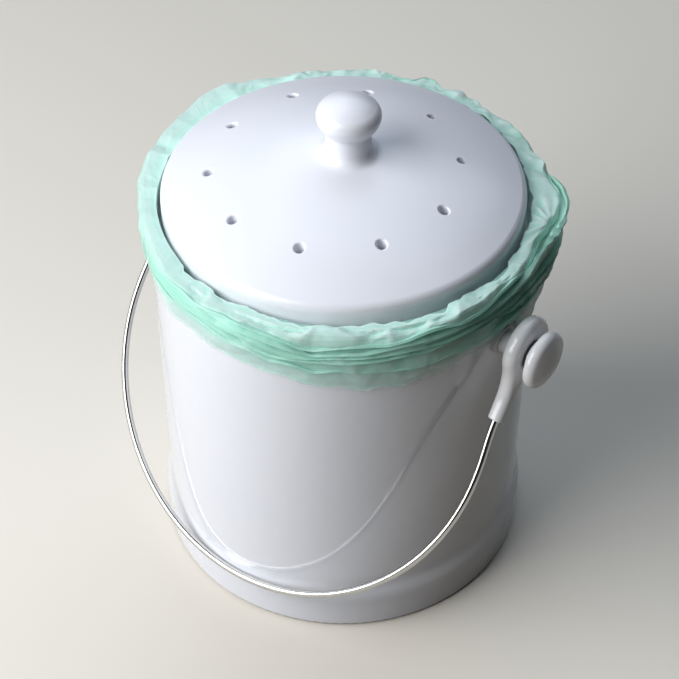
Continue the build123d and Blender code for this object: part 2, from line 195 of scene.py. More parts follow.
def surface_variation_group() -> bpy.types.NodeTree:
    """Build the group that breaks up a flat colour, a flat roughness and a flat surface.

    Returns:
        A group with colour, roughness and height outputs, from patches and a finer grain.
    """
    bench, given, made = new_group(
        "surface_variation",
        {
            "Place": VECTOR,
            "Colour": COLOUR,
            "Tint": COLOUR,
            "Tint Amount": NUMBER,
            "Smooth": NUMBER,
            "Rough": NUMBER,
            "Patch Scale": NUMBER,
            "Grain Scale": NUMBER,
            "Grain Share": NUMBER,
        },
        {"Colour": COLOUR, "Roughness": NUMBER, "Height": NUMBER},
    )
    patches = bench.add("ShaderNodeTexNoise")
    grain = bench.add("ShaderNodeTexNoise")
    place = given.outputs["Place"]
    for texture, scale, detail in ((patches, "Patch Scale", 3.0), (grain, "Grain Scale", 4.0)):
        bench.fill(texture, {"Vector": place, "Scale": given.outputs[scale], "Detail": detail})
    spread = bench.range(patches.outputs["Fac"], 0.35, 0.68)
    share = bench.math("MULTIPLY", spread, given.outputs["Tint Amount"])
    colour = bench.mix(share, given.outputs["Colour"], given.outputs["Tint"])
    bench.join(colour, made.inputs["Colour"])
    blend = bench.math("MULTIPLY", grain.outputs["Fac"], given.outputs["Grain Share"])
    rest = bench.math("SUBTRACT", 1.0, given.outputs["Grain Share"])
    broad = bench.math("MULTIPLY", patches.outputs["Fac"], rest)
    height = bench.math("ADD", blend, broad)
    bench.join(height, made.inputs["Height"])
    scatter = bench.range(height, 0.3, 0.7)
    step = bench.math("SUBTRACT", given.outputs["Rough"], given.outputs["Smooth"])
    extra = bench.math("MULTIPLY", scatter, step)
    bench.join(bench.math("ADD", extra, given.outputs["Smooth"]), made.inputs["Roughness"])
    return bench.tree


def level_mask_group() -> bpy.types.NodeTree:
    """Build the group that masks what lies below a height.

    Returns:
        A group whose mask is 1 below the level and 0 above it, with a ragged line between.
    """
    bench, given, made = new_group(
        "level_mask", {"Level": NUMBER, "Softness": NUMBER, "Raggedness": NUMBER}, {"Mask": NUMBER}
    )
    place = bench.add("ShaderNodeTexCoord")
    split = bench.add("ShaderNodeSeparateXYZ")
    bench.join(place.outputs["Object"], split.inputs["Vector"])
    wander = bench.add("ShaderNodeTexNoise")
    bench.fill(wander, {"Vector": place.outputs["Object"], "Scale": 90.0})
    centred = bench.math("SUBTRACT", wander.outputs["Fac"], 0.5)
    shift = bench.math("MULTIPLY", centred, given.outputs["Raggedness"])
    line = bench.math("ADD", given.outputs["Level"], shift)
    over = bench.math("SUBTRACT", split.outputs["Z"], line)
    ramp = bench.math("DIVIDE", over, given.outputs["Softness"])
    clear = bench.add("ShaderNodeClamp")
    bench.join(ramp, clear.inputs["Value"])
    bench.join(bench.math("SUBTRACT", 1.0, clear.outputs["Result"]), made.inputs["Mask"])
    return bench.tree


def scratches_group() -> bpy.types.NodeTree:
    """Build the group of fine lines that drawing, turning or handling leaves.

    Returns:
        A group whose height has long thin streaks across the given direction.
    """
    bench, given, made = new_group(
        "fine_scratches", {"Place": VECTOR, "Stretch": VECTOR, "Scale": NUMBER}, {"Height": NUMBER}
    )
    stretch = bench.add("ShaderNodeVectorMath", operation="MULTIPLY")
    bench.join(given.outputs["Place"], stretch.inputs[0])
    bench.join(given.outputs["Stretch"], stretch.inputs[1])
    lines = bench.add("ShaderNodeTexNoise")
    vector, scale = stretch.outputs["Vector"], given.outputs["Scale"]
    bench.fill(lines, {"Vector": vector, "Scale": scale, "Detail": 5.0})
    bench.join(lines.outputs["Fac"], made.inputs["Height"])
    return bench.tree


@dataclass
class Effects:
    """Node groups that several materials share, built once."""

    variation: bpy.types.NodeTree = field(default_factory=surface_variation_group)
    level: bpy.types.NodeTree = field(default_factory=level_mask_group)
    scratches: bpy.types.NodeTree = field(default_factory=scratches_group)


@dataclass(frozen=True)
class Finish:
    """A surface with patches of colour and roughness, and a fine relief.

    The patch and grain scales are in waves per metre.
    """

    name: str
    colour: Colour
    tint: Colour
    tint_amount: float = 0.5
    smooth: float = 0.3
    rough: float = 0.4
    patch_scale: float = 40.0
    grain_scale: float = 900.0
    grain_share: float = 0.6
    relief: float = 0.1
    relief_depth: float = 0.0002
    metallic: float = 0.0
    coat: float = 0.0
    coat_roughness: float = 0.05
    specular: float = 0.5
    ior: float = 1.5

    def start(
        self, effects: Effects
    ) -> tuple[bpy.types.Material, NodeBench, bpy.types.Node, bpy.types.Node, bpy.types.Node]:
        """Build the material that every finish starts from.

        Args:
            effects: the shared node groups.

        Returns:
            The material, its bench, its shader, the variation group's node and the coordinates.
        """
        material = bpy.data.materials.new(self.name)
        material.use_nodes = True
        bench = NodeBench(material.node_tree)
        shader = material.node_tree.nodes["Principled BSDF"]
        place = bench.add("ShaderNodeTexCoord")
        variation = bench.add("ShaderNodeGroup", node_tree=effects.variation)
        bench.fill(
            variation,
            {
                "Place": place.outputs["Object"],
                "Colour": (*self.colour, 1.0),
                "Tint": (*self.tint, 1.0),
                "Tint Amount": self.tint_amount,
                "Smooth": self.smooth,
                "Rough": self.rough,
                "Patch Scale": self.patch_scale,
                "Grain Scale": self.grain_scale,
                "Grain Share": self.grain_share,
            },
        )
        bump = bench.bump(variation.outputs["Height"], self.relief, self.relief_depth)
        bump.name = "relief"
        bench.fill(
            shader,
            {
                "Base Color": variation.outputs["Colour"],
                "Roughness": variation.outputs["Roughness"],
                "Normal": bump.outputs["Normal"],
                "Metallic": self.metallic,
                "Coat Weight": self.coat,
                "Coat Roughness": self.coat_roughness,
                "Specular IOR Level": self.specular,
                "IOR": self.ior,
            },
        )
        return material, bench, shader, variation, place

    def build(self, effects: Effects) -> bpy.types.Material:
        """Build the material.

        Args:
            effects: the shared node groups.

        Returns:
            The finished material.
        """
        return self.start(effects)[0]


@dataclass(frozen=True)
class Glaze(Finish):
    """White glaze over stoneware, left bare where the piece stood in the kiln."""

    bare_level: float = 0.0006
    bare_colour: Colour = (0.66, 0.6, 0.5)
    bare_softness: float = 0.0002
    bare_raggedness: float = 0.0003
    bare_dullness: float = 0.7

    def build(self, effects: Effects) -> bpy.types.Material:
        """Build the glaze with its bare seat.

        Args:
            effects: the shared node groups.

        Returns:
            The finished material.
        """
        material, bench, shader, variation, _ = self.start(effects)
        seat = bench.add("ShaderNodeGroup", node_tree=effects.level)
        bench.fill(
            seat,
            {
                "Level": self.bare_level,
                "Softness": self.bare_softness,
                "Raggedness": self.bare_raggedness,
            },
        )
        bare = seat.outputs["Mask"]
        dull = bench.math("MULTIPLY", bare, self.bare_dullness)
        glassy = bench.math("SUBTRACT", 1.0, bare)
        bench.fill(
            shader,
            {
                "Base Color": bench.mix(bare, variation.outputs["Colour"], (*self.bare_colour, 1.0)),
                "Roughness": bench.math("ADD", variation.outputs["Roughness"], dull),
                "Coat Weight": bench.math("MULTIPLY", glassy, self.coat),
            },
        )
        return material


@dataclass(frozen=True)
class Metal(Finish):
    """Metal with the fine lines of drawing or turning."""

    stretch: Triple = (1.0, 1.0, 1.0)
    line_scale: float = 400.0
    line_strength: float = 0.4
    line_depth: float = 0.00002

    def build(self, effects: Effects) -> bpy.types.Material:
        """Build the metal with its lines.

        Args:
            effects: the shared node groups.

        Returns:
            The finished material.
        """
        material, bench, shader, _, place = self.start(effects)
        lines = bench.add("ShaderNodeGroup", node_tree=effects.scratches)
        spot = place.outputs["Object"]
        bench.fill(lines, {"Place": spot, "Stretch": self.stretch, "Scale": self.line_scale})
        relief = material.node_tree.nodes["relief"]
        bump = bench.bump(lines.outputs["Height"], self.line_strength, self.line_depth)
        bench.join(relief.outputs["Normal"], bump.inputs["Normal"])
        bench.join(bump.outputs["Normal"], shader.inputs["Normal"])
        return material


@dataclass(frozen=True)
class Foam(Finish):
    """Open black foam with pores, painted darker inside as painted shade."""

    pore_scale: float = 550.0
    pore_depth: float = 0.0006
    pore_shade_colour: Colour = (0.004, 0.004, 0.004)

    def build(self, effects: Effects) -> bpy.types.Material:
        """Build the foam with its pores.

        Args:
            effects: the shared node groups.

        Returns:
            The finished material.
        """
        material, bench, shader, variation, place = self.start(effects)
        pores = bench.add("ShaderNodeTexVoronoi")
        bench.fill(pores, {"Vector": place.outputs["Object"], "Scale": self.pore_scale})
        wall = bench.range(pores.outputs["Distance"], 0.1, 0.5)
        # painted shade: the pores' hollows are painted near black
        colour = bench.mix(wall, (*self.pore_shade_colour, 1.0), variation.outputs["Colour"])
        bump = bench.bump(wall, 1.0, self.pore_depth)
        bench.fill(shader, {"Base Color": colour, "Normal": bump.outputs["Normal"]})
        return material


@dataclass(frozen=True)
class Film(Finish):
    """Thin translucent film: hazy, with a silky sheen, paler where it lies as a single thin layer, and
    painted paler on its crests, roll and free edge as painted highlight, with pockets left deep green as
    painted shade.
    """

    # pale colour for thin single layers and for the painted highlight on crests, roll and free edge
    thin_and_highlight_colour: Colour = (0.83, 0.97, 0.94)
    single_alpha: float = 0.27
    folded_alpha: float = 0.92
    wrinkle_scale: float = 260.0
    wrinkle_depth: float = 0.0005
    wrinkle_strength: float = 0.6
    wrinkle_stretch: Triple = (0.35, 1.0, 1.0)
    sheen: float = 0.35
    sheen_roughness: float = 0.45

    def build(self, effects: Effects) -> bpy.types.Material:
        """Build the film.

        Args:
            effects: the shared node groups.

        Returns:
            The finished material.
        """
        material, bench, shader, variation, _ = self.start(effects)
        flat = bench.add("ShaderNodeUVMap", uv_map="film")
        thin_and_painted_light = bench.add("ShaderNodeAttribute", attribute_name="thin_and_painted_light")
        layers = bench.add("ShaderNodeAttribute", attribute_name="layers")
        pale = (*self.thin_and_highlight_colour, 1.0)
        span = bench.math("MULTIPLY", layers.outputs["Fac"], self.folded_alpha - self.single_alpha)
        lines = bench.add("ShaderNodeGroup", node_tree=effects.scratches)
        bench.fill(
            lines,
            {
                "Place": flat.outputs["UV"],
                "Stretch": self.wrinkle_stretch,
                "Scale": self.wrinkle_scale,
            },
        )
        bump = bench.bump(lines.outputs["Height"], self.wrinkle_strength, self.wrinkle_depth)
        bench.fill(
            shader,
            {
                # painted light: the pale colour is mixed in as painted highlight on crests, the roll and
                # the free edge, and left out in pockets as painted shade; thin single layers are paler in
                # their own right
                "Base Color": bench.mix(thin_and_painted_light.outputs["Fac"], variation.outputs["Colour"], pale),
                "Alpha": bench.math("ADD", span, self.single_alpha),
                "Normal": bump.outputs["Normal"],
                "Sheen Weight": self.sheen,
                "Sheen Roughness": self.sheen_roughness,
            },
        )
        return material


GLAZE = Glaze(
    "white_glaze",
    colour=(0.85, 0.866, 0.925),
    tint=(0.838, 0.856, 0.918),
    tint_amount=0.6,
    smooth=0.1,
    rough=0.17,
    patch_scale=22.0,
    grain_scale=160.0,
    grain_share=0.3,
    relief=0.35,
    relief_depth=0.0006,
    coat=0.5,
    coat_roughness=0.03,
)
LID_GLAZE = Glaze(
    "white_lid_glaze",
    colour=(0.862, 0.872, 0.93),
    tint=(0.858, 0.869, 0.928),
    tint_amount=0.3,
    smooth=0.28,
    rough=0.284,
    patch_scale=24.0,
    grain_scale=180.0,
    grain_share=0.3,
    relief=0.2,
    relief_depth=0.0004,
    coat=0.2,
    coat_roughness=0.16,
    bare_level=0.1845,
)
WIRE_STEEL = Metal(
    "drawn_steel",
    colour=(0.58, 0.575, 0.555),
    tint=(0.5, 0.49, 0.465),
    smooth=0.1,
    rough=0.18,
    patch_scale=120.0,
    grain_scale=2500.0,
    metallic=1.0,
    relief_depth=0.00005,
    line_scale=900.0,
)
SCREW_STEEL = Metal(
    "machined_steel",
    colour=(0.6, 0.6, 0.6),
    tint=(0.5, 0.5, 0.5),
    smooth=0.2,
    rough=0.34,
    patch_scale=200.0,
    metallic=1.0,
    stretch=(4.0, 0.3, 0.3),
)
BRASS = Metal(
    "turned_brass",
    colour=(0.74, 0.55, 0.25),
    tint=(0.6, 0.42, 0.18),
    smooth=0.2,
    rough=0.35,
    patch_scale=200.0,
    metallic=1.0,
    stretch=(4.0, 0.3, 0.3),
)
WHITE_PLASTIC = Finish(
    "white_moulding",
    colour=(0.82, 0.82, 0.83),
    tint=(0.78, 0.78, 0.79),
    smooth=0.14,
    rough=0.24,
    patch_scale=60.0,
    grain_scale=700.0,
    relief=0.12,
    coat=0.3,
    coat_roughness=0.06,
)
BUSH_PLASTIC = Finish(
    "satin_moulding",
    colour=(0.7, 0.7, 0.7),
    tint=(0.62, 0.62, 0.62),
    smooth=0.4,
    rough=0.55,
)
HOLDER_PLASTIC = Finish(
    "milky_moulding",
    colour=(0.76, 0.77, 0.76),
    tint=(0.7, 0.71, 0.7),
    smooth=0.35,
    rough=0.5,
    grain_scale=1500.0,
)
DARK_PLASTIC = Finish(
    "black_moulding",
    colour=(0.04, 0.04, 0.042),
    tint=(0.06, 0.06, 0.06),
    smooth=0.45,
    rough=0.6,
)
SILICONE = Finish(
    "silicone",
    colour=(0.62, 0.62, 0.6),
    tint=(0.56, 0.56, 0.54),
    smooth=0.5,
    rough=0.65,
    grain_scale=1200.0,
    relief=0.2,
)
CARBON_FOAM = Foam(
    "carbon_foam",
    colour=(0.03, 0.03, 0.032),
    tint=(0.05, 0.05, 0.05),
    smooth=0.8,
    rough=0.95,
)
BAG_FILM = Film(
    "bag_film",
    colour=(0.47, 0.9, 0.75),
    tint=(0.4, 0.84, 0.67),
    tint_amount=0.6,
    smooth=0.24,
    rough=0.42,
    patch_scale=60.0,
    grain_scale=500.0,
    relief=0.2,
    specular=0.45,
    ior=1.45,
)


def dress(node: str, material: bpy.types.Material) -> None:
    """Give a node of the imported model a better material.

    Args:
        node: name of the node.
        material: the material that it gets.
    """
    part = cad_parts[node]
    if not part.data.materials:
        part.data.materials.append(material)
    for place in range(len(part.data.materials)):
        part.data.materials[place] = material
    log.info("dressed %s with %s", node, material.name)


@dataclass(frozen=True)
class Around:
    """A size that changes round the bin, given at stations and joined by smooth steps.

    The azimuths are in degrees, anticlockwise from above, from +X.
    """

    stations: tuple[Station, ...]

    def at(self, azimuth: float) -> float:
        """Return the size at an azimuth in degrees."""
        turned = azimuth % 360.0
        ordered = self.stations
        previous = (ordered[-1][0] - 360.0, ordered[-1][1])
        for station in (*ordered, (ordered[0][0] + 360.0, ordered[0][1])):
            if turned <= station[0]:
                share = (turned - previous[0]) / (station[0] - previous[0])
                eased = share * share * (3.0 - 2.0 * share)
                return previous[1] + (station[1] - previous[1]) * eased
            previous = station
        return previous[1]


def clamp(value: float, low: float, high: float) -> float:
    """Return the value, kept between low and high."""
    return max(low, min(high, value))


@dataclass(frozen=True)
class Sector:
    """A stretch of the way round the bin, with soft ends. Degrees."""

    start: float
    end: float
    soft: float

    def at(self, azimuth: float) -> float:
        """Return 1 inside the stretch and 0 outside it, with a ramp between them."""
        middle = (self.start + self.end) / 2.0
        half = (self.end - self.start) / 2.0
        away = abs((azimuth - middle + 180.0) % 360.0 - 180.0)
        return clamp((half + self.soft - away) / self.soft, 0.0, 1.0)


@dataclass(frozen=True)
class Wander:
    """A random broken line round the bin.

    The depth is in millimetres, the pitch is the degrees between corners, and the pattern picks
    one of many lines.
    """

    depth: float
    pitch: float
    pattern: float

    def at(self, azimuth: float) -> float:
        """Return the line's height at an azimuth in degrees, at most its depth up or down."""
        cells = round(360.0 / self.pitch)
        x = azimuth / 360.0 * cells
        cell = math.floor(x)
        ends = [
            noise.cell(Vector(((cell + step) % cells + 0.5, self.pattern + 0.5, 31.5))) * 2.0 - 1.0
            for step in (0, 1)
        ]
        return self.depth * (ends[0] + (ends[1] - ends[0]) * (x - cell))


@dataclass(frozen=True)
class Crumple:
    """Random flat facets with crisp creases between them, as in crushed film. Millimetres."""

    size: float
    depth: float
    stretch: float = 1.0
    warp: float = 0.6
    seed: float = 0.0

    def corner(self, column: int, row: int) -> float:
        """Random height of one corner of the facets, from -1 to 1."""
        return noise.cell(Vector((column + 0.5, row + 0.5, self.seed + 0.5))) * 2.0 - 1.0

    def at(self, turn: float, length: float, ring: float) -> float:
        """Height of the creased surface at one place.

        Args:
            turn: place round the bin, in radians.
            length: place along the film's section.
            ring: radius that the turn is measured on.

        Returns:
            How far the film stands out there.
        """
        cells = max(round(math.tau * ring / (self.size * self.stretch)), 3)
        circle = Vector((math.cos(turn), math.sin(turn), 0.0)) * ring
        spot = Vector((circle.x, circle.y, length)) / (1.7 * self.size)
        sway = noise.noise_vector(spot + Vector((0.0, 0.0, 9.0 * self.seed)))
        x = turn / math.tau * cells + self.warp * sway.x
        y = length / self.size + self.warp * sway.y
        column, row = math.floor(x), math.floor(y)
        u, v = x - column, y - row
        near, far = column % cells, (column + 1) % cells
        a, b = self.corner(near, row), self.corner(far, row)
        c, d = self.corner(near, row + 1), self.corner(far, row + 1)
        if noise.cell(Vector((near + 0.5, row + 0.5, self.seed + 70.5))) > 0.5:
            if u + v < 1.0:
                height = a + (b - a) * u + (c - a) * v
            else:
                height = d + (c - d) * (1.0 - u) + (b - d) * (1.0 - v)
        elif u > v:
            height = a + (b - a) * u + (d - b) * v
        else:
            height = a + (d - c) * u + (c - a) * v
        return self.depth * height


@dataclass(frozen=True)
class Fan:
    """Straight folds that fan out from one pinched place on the cuff. Millimetres and degrees."""

    azimuth: float = 25.0
    radius: float = 93.4
    reach: float = 26.0
    depth: float = 1.35
    pitch: float = 14.0
    squash: float = 1.3
    soft_share: float = 0.35
    bottom: float = 188.0

    def ridge(self, fold: int) -> float:
        """Random height of one fold, up where its number is odd and down where it is even."""
        size = 0.45 + 0.55 * noise.cell(Vector((fold + 0.5, 3.5, 55.5)))
        return size if fold % 2 else -size

    def at(self, azimuth: float, radius: float, ring: float) -> float:
        """Height of the folds at one place.

        Args:
            azimuth: place round the bin.
            radius: distance from the axis.
            ring: radius that distances round the bin are measured on.

        Returns:
            How far the film stands out there.
        """
        across = math.radians((azimuth - self.azimuth + 180.0) % 360.0 - 180.0) * ring
        out = self.squash * (radius - self.radius)
        away = math.hypot(across, out)
        if away < 0.01 or away > self.reach:
            return 0.0
        turned = math.degrees(math.atan2(out, across)) / self.pitch
        fold = math.floor(turned)
        start, end = self.ridge(fold), self.ridge(fold + 1)
        height = start + (end - start) * (turned - fold)
        soft = self.soft_share * self.reach
        fade = clamp(away / soft, 0.0, 1.0) * clamp((self.reach - away) / soft, 0.0, 1.0)
        return self.depth * height * fade


@dataclass(frozen=True)
class Row:
    """One control point of the film's section. Millimetres.

    Steps counts the rows of mesh up to the next point, layers says how dense the film looks and
    loose how crumpled it is, both from 0 to 1.
    """

    radius: float
    height: float
    steps: int
    layers: float
    loose: float


class MeshRow(NamedTuple):
    """One row of mesh of the film's section, with the length of film up to it. Millimetres."""

    radius: float
    height: float
    layers: float
    loose: float
    length: float


@dataclass(frozen=True)
class Lip:
    """Lip of one hanging pleat: its height, how far it hangs, and how both change. Millimetres."""

    heights: Around
    hang: float
    sway: Wander
    swell: Wander


@dataclass(frozen=True)
class Limits:
    """How near the film may come to the bin's other pieces. Millimetres.

    Drum, neck, ledge, gallery, rim and wall are places on the crock, and lid and free edge are
    radii from the axis. The reaches are measured from the pivots' axis, and lug and wire along it.
    """

    drum_top: float = 186.0
    drum: float = 75.1
    neck: float = 77.0
    ledge_middle: float = 80.0
    gallery: float = 83.95
    rim_start: float = 84.1
    rim: float = 88.0
    wall: float = 88.4
    lid: float = 83.3
    free_edge: float = 83.6
    bush_reach: float = 8.4
    bail_reach: float = 37.0
    lug: float = 96.0
    wire: float = 98.1


def painted_light_and_thinness(layers: float, loose: float, sharp: float) -> float:
    """How pale the film is painted at one place: paler where it is a single thin layer, with painted
    highlight where it is crumpled and on crests, and painted shade where it sinks in.

    Args:
        layers: how dense the film looks, from 0 to 1.
        loose: how crumpled it is, from 0 to 1.
        sharp: how far the place stands out from the film round it, in millimetres.

    Returns:
        The share of the pale colour: partly the thin film's own paleness, partly painted highlight.
    """
    # painted highlight on the crumpled roll and lips, and the thin film's own paleness in single layers
    pale = 0.15 + 0.62 * max(loose - 0.3, 0.0) + 1.2 * max(0.3 - layers, 0.0)
    # painted highlight on crests that stand out, painted shade where the film sinks into pockets
    pale += 0.55 * (0.2 + 0.8 * loose) * sharp
    return clamp(pale, 0.1, 0.8)


@dataclass
class LinerBag:
    """Thin film bag: it lines the crock, folds over the rim and is folded up again outside.

    Sizes are in millimetres. The film is one sheet: bottom, wall, over the rim, down to the hem,
    and up again in hanging pleats to a loose roll whose free edge lies over the rim. The sectors
    say where the cuff bulges, lies in layers, has a dip under its roll or flattened pleats, and
    where the film is taut, pinched or gathered.
    """

    seed: int = 4
    columns: int = 640
    film_on_bottom: float = 11.3
    drum_radius: float = 74.6
    neck_radius: float = 76.7
    ledge_height: float = 189.75
    gallery_radius: float = 83.7
    rim_radius: float = 86.2
    rim_top: float = 197.0
    wall_radius: float = 88.6
    pivot_height: float = 161.0
    ring: float = 93.0
    limits: Limits = Limits()
    rim_rows: int = 2
    wall_rows: int = 8
    roll_rows: int = 26
    roll_sink: float = 0.6
    # share of pale colour painted along the free edge as a painted highlight
    edge_painted_highlight: float = 0.65
    bulging: Sector = Sector(8.0, 44.0, 18.0)
    layered: Sector = Sector(3.0, 54.0, 10.0)
    dipped: Sector = Sector(6.0, 25.0, 9.0)
    flattened: Sector = Sector(178.0, 244.0, 24.0)
    taut: Sector = Sector(168.0, 258.0, 18.0)
    pinched: Sector = Sector(6.0, 44.0, 10.0)
    gathered: Sector = Sector(62.0, 128.0, 14.0)
    hem_sway: Wander = Wander(0.7, 7.0, 1.0)
    hem_ripple: Wander = Wander(0.35, 1.9, 2.0)
    roll_sway: Wander = Wander(0.35, 5.0, 3.0)
    top_sway: Wander = Wander(0.35, 4.0, 4.0)
    bottom_sway: Wander = Wander(0.4, 6.0, 5.0)
    edge_sway: Wander = Wander(0.7, 3.4, 6.0)
    edge_ripple: Wander = Wander(0.2, 1.5, 7.0)
    hem_height: Around = Around(
        (
            (0.0, 168.9), (5.0, 168.2), (8.5, 158.0), (13.0, 151.0), (30.0, 147.0), (48.0, 147.5),
            (80.0, 154.0), (110.0, 160.0), (140.0, 164.0), (172.0, 167.0), (188.0, 167.5),
            (205.0, 168.5), (220.0, 172.5), (234.0, 175.5), (243.0, 173.8), (250.0, 171.0),
            (256.0, 173.6), (265.0, 171.4), (283.0, 171.4), (291.0, 171.0), (297.0, 168.4),
            (307.0, 168.8), (314.0, 165.6), (322.0, 165.6), (329.0, 166.8), (338.0, 166.8),
            (343.0, 169.0), (352.0, 169.0),
        )
    )
    roll_radius: Around = Around(
        (
            (0.0, 92.4), (12.0, 91.8), (20.0, 91.4), (25.0, 93.0), (30.0, 96.2), (35.0, 98.4),
            (39.0, 98.0), (44.0, 95.2), (48.0, 95.4), (52.0, 97.2), (57.0, 95.6), (63.0, 97.6),
            (70.0, 96.4), (79.4, 94.0), (91.0, 96.0), (95.0, 93.2), (102.0, 99.0), (107.0, 94.0),
            (121.0, 95.8), (130.0, 93.0), (144.0, 91.8), (151.0, 95.2), (157.5, 96.6),
            (164.0, 99.4), (169.0, 100.4), (178.0, 98.4), (190.0, 97.2), (200.0, 96.4),
            (209.0, 95.0), (217.0, 93.0), (235.0, 93.2), (262.0, 94.3), (300.0, 94.8),
            (330.0, 95.0),
        )
    )
    roll_width: Around = Around(
        (
            (0.0, 2.2), (22.0, 2.0), (40.0, 2.8), (190.0, 2.8), (215.0, 3.2), (250.0, 4.4),
            (300.0, 4.4), (325.0, 3.8), (345.0, 2.6),
        )
    )
    roll_top: Around = Around(
        (
            (0.0, 199.8), (30.0, 199.8), (50.0, 201.0), (75.0, 202.6), (100.0, 202.2),
            (135.0, 202.0), (160.0, 202.2), (190.0, 200.8), (230.0, 199.8), (270.0, 199.4),
            (320.0, 199.4),
        )
    )
    roll_bottom: Around = Around(
        (
            (5.0, 195.4), (25.0, 195.8), (40.0, 190.0), (90.0, 192.0), (130.0, 194.0),
            (180.0, 192.0), (215.0, 194.0), (250.0, 195.5), (279.0, 196.6), (287.0, 195.3),
            (298.0, 190.9), (310.0, 192.8), (331.0, 195.3), (347.0, 193.3),
        )
    )
    pocket_depth: Around = Around(
        (
            (0.0, 4.0), (20.0, 2.5), (50.0, 1.5), (180.0, 0.8), (240.0, 1.0), (280.0, 1.6),
            (300.0, 2.4), (312.0, 3.6), (335.0, 5.0),
        )
    )
    ridge_radius: Around = Around(
        (
            (5.0, 92.8), (12.0, 93.0), (17.0, 93.8), (21.0, 95.6), (25.0, 97.6), (29.0, 99.2),
            (35.0, 100.2), (40.0, 99.2), (45.0, 96.6), (52.0, 94.4), (350.0, 92.4),
        )
    )
    ridge_height: Around = Around(
        (
            (5.0, 192.6), (12.0, 194.6), (20.0, 195.8), (30.0, 196.2), (50.0, 196.0),
            (350.0, 190.0),
        )
    )
    skirt_radius: Around = Around(
        (
            (0.0, 91.4), (10.0, 90.8), (40.0, 90.2), (130.0, 90.2), (160.0, 91.4), (180.0, 91.6),
            (200.0, 91.0), (216.0, 91.4), (240.0, 91.0), (270.0, 91.4), (330.0, 91.4),
        )
    )
    free_edge: Around = Around(
        (
            (2.6, 86.0), (7.0, 84.2), (12.5, 85.9), (16.4, 84.6), (25.7, 85.4), (34.0, 84.4),
            (46.0, 84.2), (53.0, 84.8), (66.0, 84.2), (74.0, 85.4), (90.0, 84.6), (118.0, 84.4),
            (150.0, 85.0), (180.0, 83.8), (220.0, 83.6), (248.0, 84.4), (258.0, 85.4),
            (262.0, 84.4), (270.0, 85.2), (281.0, 84.8), (284.0, 85.6), (290.5, 87.0),
            (292.5, 85.6), (296.5, 87.2), (298.5, 85.4), (305.0, 85.2), (315.0, 85.4),
            (326.0, 86.6), (337.0, 87.6), (339.5, 84.8), (346.0, 85.2), (349.0, 86.6),
            (353.0, 85.2), (357.0, 86.4),
        )
    )
    lips: tuple[Lip, ...] = (
        Lip(
            Around(
                (
                    (0.0, 174.0), (40.0, 166.0), (120.0, 172.0), (200.0, 176.0), (262.0, 184.0),
                    (280.0, 181.6), (290.0, 178.4), (300.0, 176.0), (306.0, 177.6), (330.0, 176.0),
                )
            ),
            1.3,
            Wander(0.3, 6.0, 10.0),
            Wander(0.7, 17.0, 20.0),
        ),
        Lip(
            Around(
                (
                    (0.0, 180.2), (40.0, 175.0), (120.0, 179.0), (200.0, 182.0), (262.0, 188.0),
                    (280.0, 184.6), (290.0, 182.0), (312.0, 183.4), (326.0, 183.0), (337.0, 184.2),
                    (350.0, 182.4),
                )
            ),
            1.5,
            Wander(0.3, 6.0, 11.0),
            Wander(0.7, 17.0, 21.0),
        ),
        Lip(
            Around(
                (
                    (0.0, 184.6), (40.0, 181.0), (120.0, 184.0), (200.0, 186.5), (262.0, 190.6),
                    (280.0, 189.0), (293.0, 185.0), (308.0, 186.0), (326.0, 186.3), (350.0, 185.4),
                )
            ),
            1.8,
            Wander(0.3, 6.0, 12.0),
            Wander(0.7, 17.0, 22.0),
        ),
        Lip(
            Around(
                (
                    (0.0, 188.0), (40.0, 186.0), (120.0, 188.0), (200.0, 190.6), (262.0, 195.0),
                    (280.0, 192.6), (290.0, 190.4), (300.0, 187.7), (312.0, 188.6), (324.0, 190.4),
                    (340.0, 189.8),
                )
            ),
            2.0,
            Wander(0.3, 6.0, 13.0),
            Wander(0.7, 17.0, 23.0),
        ),
    )
    creases: tuple[Crumple, ...] = (
        Crumple(9.5, 1.3, 1.5, 0.5, 1.0),
        Crumple(4.8, 0.4, 1.4, 0.5, 2.0),
        Crumple(2.4, 0.1, 1.1, 0.4, 3.0),
    )
    fan: Fan = Fan()
    gathers: tuple[Crumple, ...] = (Crumple(9.0, 0.8, 0.42, 0.4, 6.0),)
    drapes: tuple[Crumple, ...] = (Crumple(16.0, 0.6, 1.6, 0.5, 7.0),)

    def edge_height(self, azimuth: float) -> float:
        """Height of the hem at an azimuth in degrees, kept above the pivots' bushes."""
        height = self.hem_height.at(azimuth) + self.hem_sway.at(azimuth)
        height += self.hem_ripple.at(azimuth)
        across = self.wall_radius * math.sin(math.radians(azimuth))
        if abs(across) < self.limits.bush_reach:
            arch = math.sqrt(self.limits.bush_reach**2 - across**2)
            height = max(height, self.pivot_height + arch)
        return height

